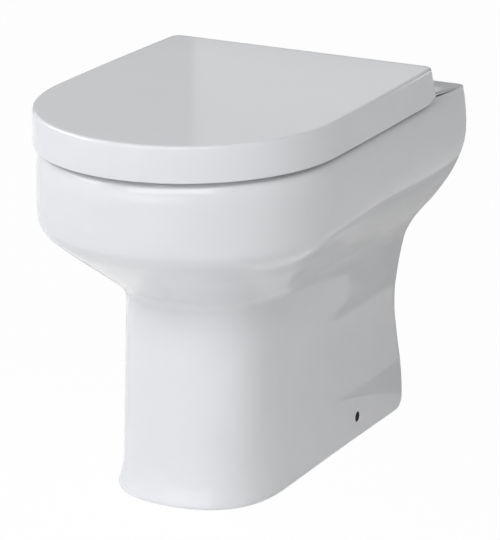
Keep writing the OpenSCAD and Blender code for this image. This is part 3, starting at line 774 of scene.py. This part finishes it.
def make_stud():
    """A threaded stud: its groove winds round the lower half."""
    foot = FLANGE_Z - STUD_LEN
    sides, steps = 36, 6
    rows = [(foot, 1)]
    rows += [(foot + 1 + THREAD_PITCH * i / steps, 0) for i in range(THREAD_TURNS * steps + 1)]
    rows.append((STUD_TOP, 0))
    rings = []
    for z, inward in rows:
        wound = (z - foot - 1) / THREAD_PITCH
        ring = []
        for i in range(sides):
            turn = i / sides
            groove = 0
            if 0 <= wound <= THREAD_TURNS:
                fade = min(1, wound, THREAD_TURNS - wound)
                groove = THREAD_DEPTH * (1 - abs(2 * ((wound - turn) % 1) - 1)) * fade
            radius = STUD_R - inward - groove
            angle = 2 * math.pi * turn
            ring.append((HINGE_X + radius * math.cos(angle), AXIS_D + radius * math.sin(angle), z))
        rings.append(ring)
    return smooth(draw_wall("stud", rings), 50)


def make_cone_washer():
    """A rubber cone under the shelf, with a plug that reaches up into the shelf's hole."""
    x = HINGE_X
    cone = rod("cone_washer", CONE_R, (x, AXIS_D, UNDER_SHELF - CONE_H), (x, AXIS_D, UNDER_SHELF), 96,
               STUD_HOLE_R + 2)
    join_on(cone, rod("plug", STUD_HOLE_R - 0.3, (x, AXIS_D, UNDER_SHELF - 0.5),
                      (x, AXIS_D, UNDER_SHELF + 6)))
    round_edges(cone, 0.5)
    return smooth(cut_with(cone, rod("way", STUD_R + 0.1, (x, AXIS_D, UNDER_SHELF - 20), (x, AXIS_D, RIM_Z))))


def make_wing_nut():
    """A nylon nut with a collar and two wings."""
    x = HINGE_X
    top = UNDER_SHELF - CONE_H
    foot = top - NUT_H
    nut = rod("wing_nut", NUT_R - 2, (x, AXIS_D, foot), (x, AXIS_D, top), 96, NUT_R)
    join_on(nut, rod("collar", NUT_R + 2, (x, AXIS_D, top - 2.5), (x, AXIS_D, top), 96))
    wing = [(-WING_REACH, -3), (-WING_REACH + 3, -5), (-NUT_R, 1), (NUT_R, 1), (WING_REACH - 3, -5),
            (WING_REACH, -3), (WING_REACH - 1, 4), (NUT_R - 1, NUT_H - 3), (1 - NUT_R, NUT_H - 3),
            (1 - WING_REACH, 4)]
    wings = draw_wall("wings", [[(x + wx, AXIS_D + side * WING_T / 2, foot + wz) for wx, wz in wing]
                                for side in (-1, 1)])
    round_edges(wings, 1.2, 4, 20)
    join_on(nut, wings)
    thread_way = rod("thread_way", STUD_R + RUN_FIT, (x, AXIS_D, foot - 6), (x, AXIS_D, top + 1))
    return smooth(cut_with(nut, thread_way))


def make_buffer(x, d, foot, top, end_r, end_foot, end_top):
    """A rubber buffer: a rounded pad and its end, which is a stem or a narrower nose."""
    pad = rod("pad", BUFFER_R, (x, d, foot), (x, d, top), sides=64)
    round_edges(pad, 0.8, 4)
    end = rod("end", end_r, (x, d, end_foot), (x, d, end_top), sides=48)
    return smooth(join_on(pad, round_edges(end, 0.5)))


# ---- Finishes ----

def finish_like(name, light, dark, mottle_size, roughness, ripple_size, ripple, **sockets):
    """A surface whose colour drifts softly between two tones, with a faint ripple. Sizes in millimetres."""
    material = bpy.data.materials.new(name)
    material.use_nodes = True
    nodes, links = material.node_tree.nodes, material.node_tree.links
    shader = nodes["Principled BSDF"]
    shader.inputs["Roughness"].default_value = roughness
    for socket, value in sockets.items():
        shader.inputs[socket.replace("_", " ")].default_value = value
    where = nodes.new("ShaderNodeTexCoord").outputs["Object"]
    mottle = nodes.new("ShaderNodeTexNoise")
    mottle.inputs["Scale"].default_value = 1 / (mottle_size * MM)
    mottle.inputs["Detail"].default_value = 3
    links.new(where, mottle.inputs["Vector"])
    tones = nodes.new("ShaderNodeValToRGB")
    tones.color_ramp.elements[0].position = 0.3
    tones.color_ramp.elements[1].position = 0.7
    tones.color_ramp.elements[0].color = (*dark, 1)
    tones.color_ramp.elements[1].color = (*light, 1)
    links.new(mottle.outputs["Fac"], tones.inputs["Fac"])
    links.new(tones.outputs["Color"], shader.inputs["Base Color"])
    grain = nodes.new("ShaderNodeTexNoise")
    grain.inputs["Scale"].default_value = 1 / (ripple_size * MM)
    grain.inputs["Detail"].default_value = 2
    links.new(where, grain.inputs["Vector"])
    bump = nodes.new("ShaderNodeBump")
    bump.inputs["Strength"].default_value = 1
    bump.inputs["Distance"].default_value = ripple * MM
    links.new(grain.outputs["Fac"], bump.inputs["Height"])
    links.new(bump.outputs["Normal"], shader.inputs["Normal"])
    return material


GLAZE = finish_like("glazed_china", (0.865, 0.865, 0.87), (0.845, 0.845, 0.85),
                    60, 0.045, 45, 0.04, IOR=1.52)
BARE_CHINA = finish_like("bare_china", (0.78, 0.76, 0.72), (0.72, 0.7, 0.66), 14, 0.75, 1.2, 0.05)
# Near-black painted shade for the inside of the side holes, standing in for the little light that reaches
# there.
BORE_PAINTED_SHADE = finish_like("painted_shade_side_bore", (0.07, 0.068, 0.064), (0.05, 0.048, 0.045),
                         4, 0.85, 1, 0.05)
DUROPLAST = finish_like("gloss_duroplast", (0.87, 0.87, 0.877), (0.855, 0.855, 0.862),
                        80, 0.08, 70, 0.02, IOR=1.5)
CHROME = finish_like("polished_chrome", (0.78, 0.79, 0.8), (0.74, 0.75, 0.76),
                     9, 0.12, 2, 0.004, Metallic=1)
ZINC = finish_like("zinc_plated_steel", (0.62, 0.63, 0.62), (0.52, 0.53, 0.53),
                   3, 0.34, 0.6, 0.01, Metallic=1)
RUBBER = finish_like("white_rubber", (0.66, 0.67, 0.68), (0.6, 0.61, 0.62), 5, 0.6, 0.8, 0.02)
CLEAR_RUBBER = finish_like("buffer_rubber", (0.7, 0.71, 0.72), (0.64, 0.65, 0.66), 4, 0.5, 0.8, 0.015)
NYLON = finish_like("moulded_nylon", (0.76, 0.76, 0.73), (0.71, 0.71, 0.68), 7, 0.42, 1, 0.01)


def fit_up(piece, node, body, slot, *materials):
    """Puts a finished piece in its node's place, with its finish if it has none yet."""
    for material in materials:
        piece.data.materials.append(material)
    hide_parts(node)
    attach(piece, body)


fit_up(make_pan(), "pan", "pan_body", "pan")
fit_up(make_seat(), "seat", "seat_body", "seat", DUROPLAST)
fit_up(make_lid(), "lid", "lid_body", "lid", DUROPLAST)


def fit_pair(piece, name, body, slot, material, mirrored=True):
    """The right piece and its copy on the left."""
    left_name = name + "_left_piece"
    left = other_side(piece, left_name) if mirrored else copy_across(piece, left_name, -2 * HINGE_X)
    piece.name = piece.data.name = name + "_right_piece"
    fit_up(piece, name + "_right", body, slot, material)
    fit_up(left, name + "_left", body, slot, material)


fit_pair(make_post(), "hinge_post", "pan_body", "hinge_chrome", CHROME)
fit_pair(make_pin(), "hinge_pin", "pan_body", "hinge_chrome", CHROME)
fit_pair(make_gasket(), "gasket", "pan_body", "seal_rubber", RUBBER)
fit_pair(make_stud(), "stud", "pan_body", "stud_steel", ZINC, mirrored=False)
fit_pair(make_cone_washer(), "cone_washer", "pan_body", "seal_rubber", RUBBER)
fit_pair(make_wing_nut(), "wing_nut", "pan_body", "nylon", NYLON, mirrored=False)
for name, x, away, head, flats, body in (
        ("lid_bush", -HINGE_X - LUG_NEAR, -1, 1, False, "lid_body"),
        ("lid_damper", HINGE_X + LUG_NEAR, 1, HEAD_W, True, "lid_body"),
        ("seat_bush", HINGE_X - LUG_NEAR, -1, 1, False, "seat_body"),
        ("seat_damper", -HINGE_X + LUG_NEAR, 1, HEAD_W, True, "seat_body")):
    fit_up(make_sleeve(name + "_piece", x, away, head, flats), name, body, "nylon", NYLON)
for end, (x, d) in zip(("rear", "front"), SEAT_PADS):
    pad = make_buffer(x, d, RIM_Z + 0.1, SEAT_FOOT, BUFFER_STEM_R, SEAT_FOOT - 0.5, SEAT_FOOT + BUFFER_STEM_H)
    fit_pair(pad, "seat_buffer_" + end, "seat_body", "buffer_rubber", CLEAR_RUBBER)
for end, (x, d) in zip(("rear", "front"), LID_PADS):
    pad = make_buffer(x, d, LID_INSIDE - 2, LID_INSIDE, BUFFER_R - 2, SEAT_TOP + 0.1, LID_INSIDE - 1)
    fit_pair(pad, "lid_buffer_" + end, "lid_body", "buffer_rubber", CLEAR_RUBBER)


# ---- Stage, light and camera: metres ----

CAMERA_PLACE = (1.8542, -3.5079, 1.4940)
CAMERA_TARGET = (0.0245, -0.0006, 0.2407)
CAMERA_LENS = 239.3
FLOOR_SIZE = 14
FLOOR_DROP = 0.0004
FLOOR_GREY = 0.95
FLOOR_OWN_WHITE = 0.97
LAMP_TARGET = Vector((0, 0, 0.25))
LAMP_DISTANCE = 3
LAMP_W = 3.2
LAMP_H = 1.25
LOW_LAMP_H = 0.9
COOL = (0.955, 0.975, 1.01)
PLAIN = (1, 1, 1)


def direct_rays(nodes, links):
    """1 for the rays that show the background itself: from the camera, and by way of gloss or glass."""
    path = nodes.new("ShaderNodeLightPath")
    seen = path.outputs["Is Camera Ray"]
    for ray in ("Is Glossy Ray", "Is Transmission Ray"):
        either = nodes.new("ShaderNodeMath")
        either.operation = "MAXIMUM"
        links.new(seen, either.inputs[0])
        links.new(path.outputs[ray], either.inputs[1])
        seen = either.outputs[0]
    return seen


def white_floor_finish(base, own_white):
    """A matt floor that shows its own even white over its lit colour, and keeps a faint shadow."""
    material = bpy.data.materials.new("pale_floor")
    material.use_nodes = True
    nodes, links = material.node_tree.nodes, material.node_tree.links
    matt = nodes["Principled BSDF"]
    matt.inputs["Base Color"].default_value = (base, base, base, 1)
    matt.inputs["Roughness"].default_value = 0.8
    even = nodes.new("ShaderNodeEmission")
    even.inputs["Color"].default_value = (1, 1, 1, 1)
    share = nodes.new("ShaderNodeMath")
    share.operation = "MULTIPLY"
    share.inputs[1].default_value = own_white
    links.new(direct_rays(nodes, links), share.inputs[0])
    both = nodes.new("ShaderNodeMixShader")
    links.new(share.outputs[0], both.inputs[0])
    links.new(matt.outputs[0], both.inputs[1])
    links.new(even.outputs[0], both.inputs[2])
    links.new(both.outputs[0], nodes["Material Output"].inputs["Surface"])
    return material


put_aside()
bpy.ops.mesh.primitive_plane_add(size=FLOOR_SIZE, location=(0, 0, -FLOOR_DROP))
floor = bpy.context.object
floor.name = "pale_floor"
floor.data.materials.append(white_floor_finish(FLOOR_GREY, FLOOR_OWN_WHITE))


def soft_box(name, azimuth, elevation, height, watts, tint):
    """A wide soft lamp that faces the object: azimuth 0 is in front of it, 90 on its right."""
    a, e = math.radians(azimuth), math.radians(elevation)
    out = Vector((math.sin(a) * math.cos(e), -math.cos(a) * math.cos(e), math.sin(e)))
    bpy.ops.object.light_add(type="AREA", location=LAMP_TARGET + out * LAMP_DISTANCE)
    lamp = bpy.context.object
    lamp.name = name
    lamp.rotation_euler = (-out).to_track_quat("-Z", "Y").to_euler()
    lamp.data.shape = "RECTANGLE"
    lamp.data.size = LAMP_W
    lamp.data.size_y = height
    lamp.data.energy = watts
    lamp.data.color = tint


soft_box("left_lamp", -75, 36, LAMP_H, 47, COOL)
soft_box("front_lamp", 15, 36, LAMP_H, 36, COOL)
soft_box("low_front_lamp", 0, 10, LOW_LAMP_H, 10, COOL)
soft_box("front_right_lamp", 45, 48, LAMP_H, 12, PLAIN)
soft_box("right_lamp", 77, 48, LAMP_H, 10, PLAIN)
soft_box("back_lamp", 180, 4, LOW_LAMP_H, 12, PLAIN)


def gloss_screen(name, low, high, low_grey, high_grey):
    """A grey screen that only gloss shows, between two corners, shaded from its lower to its upper edge."""
    low, high = Vector(low), Vector(high)
    size = high - low
    upright = size.y == 0
    put_aside()
    bpy.ops.mesh.primitive_plane_add(size=1, location=(low + high) / 2,
                                     rotation=(math.pi / 2 if upright else 0, 0, 0))
    screen = bpy.context.object
    screen.name = name
    screen.scale = (size.x, size.z if upright else size.y, 1)
    material = bpy.data.materials.new(name)
    material.use_nodes = True
    nodes, links = material.node_tree.nodes, material.node_tree.links
    nodes.remove(nodes["Principled BSDF"])
    across = nodes.new("ShaderNodeSeparateXYZ")
    links.new(nodes.new("ShaderNodeTexCoord").outputs["Object"], across.inputs[0])
    shade = nodes.new("ShaderNodeMapRange")
    shade.inputs["From Min"].default_value = -0.5
    shade.inputs["From Max"].default_value = 0.5
    shade.inputs["To Min"].default_value = low_grey
    shade.inputs["To Max"].default_value = high_grey
    links.new(across.outputs["Y"], shade.inputs["Value"])
    even = nodes.new("ShaderNodeEmission")
    even.inputs["Color"].default_value = (1, 1, 1, 1)
    links.new(shade.outputs["Result"], even.inputs["Strength"])
    links.new(even.outputs[0], nodes["Material Output"].inputs["Surface"])
    screen.data.materials.append(material)
    screen.visible_camera = False
    screen.visible_diffuse = False
    screen.visible_transmission = False
    screen.visible_shadow = False


# What the lid, the shelf and the flank reflect. The two lid screens meet at x -1.133, which shows as the
# line across the lid. The shelf screen stands below them, and the flank screen lies beside the pan.
gloss_screen("left_lid_screen", (-3.2, 2, 0.945), (-1.133, 2, 1.25), 0.8, 0.42)
gloss_screen("right_lid_screen", (-1.133, 2, 0.945), (0.8, 2, 1.25), 1.1, 0.62)
gloss_screen("shelf_screen", (-3.2, 2, 0.4), (0.8, 2, 0.945), 0.1, 0.1)
gloss_screen("flank_screen", (-0.5, 0.3, 0.004), (0.22, 1.5, 0.004), 0.6, 0.45)

world = bpy.data.worlds.new("studio")
bpy.context.scene.world = world
world.use_nodes = True
nodes, links = world.node_tree.nodes, world.node_tree.links
nodes.clear()
backdrop = nodes.new("ShaderNodeBackground")
backdrop.inputs["Color"].default_value = (1, 1, 1, 1)
links.new(direct_rays(nodes, links), backdrop.inputs["Strength"])
links.new(backdrop.outputs[0], nodes.new("ShaderNodeOutputWorld").inputs["Surface"])

bpy.context.scene.view_settings.view_transform = "Standard"
bpy.ops.object.camera_add(location=CAMERA_PLACE)
camera = bpy.context.object
camera.name = "photo_camera"
camera.rotation_euler = (Vector(CAMERA_TARGET) - camera.location).to_track_quat("-Z", "Y").to_euler()
camera.data.lens = CAMERA_LENS
camera.data.sensor_width = 36
camera.data.clip_end = 50
bpy.context.scene.camera = camera
